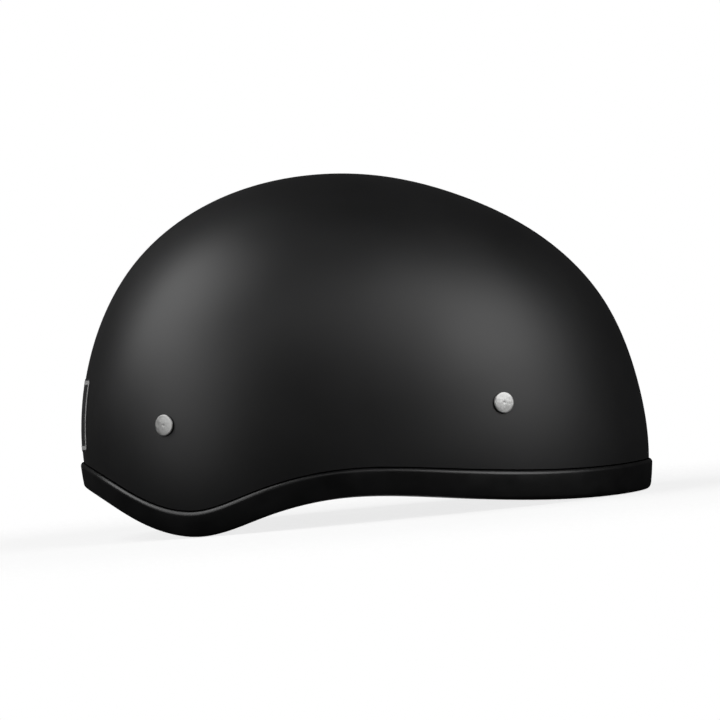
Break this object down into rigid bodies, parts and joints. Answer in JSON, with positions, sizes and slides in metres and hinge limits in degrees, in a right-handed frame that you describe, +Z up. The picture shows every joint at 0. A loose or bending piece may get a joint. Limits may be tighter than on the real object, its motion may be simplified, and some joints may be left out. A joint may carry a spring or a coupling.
{
  "type": "half shell motorcycle helmet",
  "caption": "Half shell motorcycle helmet: smooth matt dome with a rubber edge trim, riveted strap anchors, foam liner, comfort pads and a folded D-ring chin strap.",
  "frame": {"origin": "on the table, under the middle of the helmet's bounding box", "axes": "+X forward to the brow, +Y to the wearer's left, +Z up; the helmet stands on its rim, tipped 5.4 degrees nose-down from the picture's pose"},
  "size_m": [0.2684, 0.215, 0.162],
  "materials": {
    "shell_black": "matt black paint with a soft broad sheen",
    "trim_rubber": "semi-gloss black rubber",
    "liner_foam": "moulded black polystyrene foam",
    "pad_fabric": "black brushed knit over foam",
    "rivet_metal": "satin aluminium",
    "plate_steel": "zinc-plated steel",
    "webbing": "black woven nylon webbing",
    "ring_steel": "nickel-plated steel wire",
    "snap_metal": "black-lacquered snap"
  },
  "bodies": {
    "helmet": {"outer_shell": "shell_black", "edge_trim": "trim_rubber", "impact_liner": "liner_foam", "crown_pad": "pad_fabric", "brow_pad": "pad_fabric", "nape_pad": "pad_fabric", "left_temple_pad": "pad_fabric", "right_temple_pad": "pad_fabric", "strap_rivets": "rivet_metal", "rivet_plates": "plate_steel", "left_strap_roots": "webbing", "right_strap_roots": "webbing"},
    "left_yoke": {"left_strap_yoke": "webbing"},
    "left_chin": {"left_chin_strap": "webbing"},
    "outer_ring": {"outer_d_ring": "ring_steel"},
    "inner_ring": {"inner_d_ring": "ring_steel"},
    "right_yoke": {"right_strap_yoke": "webbing"},
    "right_chin": {"right_chin_strap": "webbing"},
    "right_return": {"right_strap_return": "webbing", "snap_stud": "snap_metal"},
    "right_tail": {"right_strap_tail": "webbing", "snap_socket": "snap_metal"}
  },
  "joints": [
    {"name": "left_yoke_swing", "type": "hinge", "parent": "helmet", "child": "left_yoke", "pos_m": [-0.004, 0.05805, 0.01987], "axis": [0.9992, 0.0395, 0], "range_deg": [0, 190]},
    {"name": "left_chin_fold", "type": "hinge", "parent": "left_yoke", "child": "left_chin", "pos_m": [-0.0044, 0.06825, 0.08407], "axis": [-0.9992, -0.0395, 0], "range_deg": [0, 110]},
    {"name": "outer_ring_swing", "type": "hinge", "parent": "left_chin", "child": "outer_ring", "pos_m": [-0.00402, 0.05843, 0.02995], "axis": [-0.9992, -0.0395, 0], "range_deg": [-35, 0]},
    {"name": "inner_ring_swing", "type": "hinge", "parent": "left_chin", "child": "inner_ring", "pos_m": [-0.00389, 0.05524, 0.03052], "axis": [-0.9992, -0.0395, 0], "range_deg": [0, 95]},
    {"name": "right_yoke_swing", "type": "hinge", "parent": "helmet", "child": "right_yoke", "pos_m": [-0.004, -0.05805, 0.01987], "axis": [-0.9992, 0.0395, 0], "range_deg": [0, 190]},
    {"name": "right_chin_fold", "type": "hinge", "parent": "right_yoke", "child": "right_chin", "pos_m": [-0.0044, -0.06825, 0.08407], "axis": [0.9992, -0.0395, 0], "range_deg": [0, 110]},
    {"name": "right_return_fold", "type": "hinge", "parent": "right_chin", "child": "right_return", "pos_m": [-0.00381, -0.05337, 0.0146], "axis": [-0.9992, 0.0395, 0], "range_deg": [0, 165]},
    {"name": "right_tail_fold", "type": "hinge", "parent": "right_return", "child": "right_tail", "pos_m": [-0.00406, -0.05954, 0.07037], "axis": [0.9992, -0.0395, 0], "range_deg": [0, 150]}
  ]
}
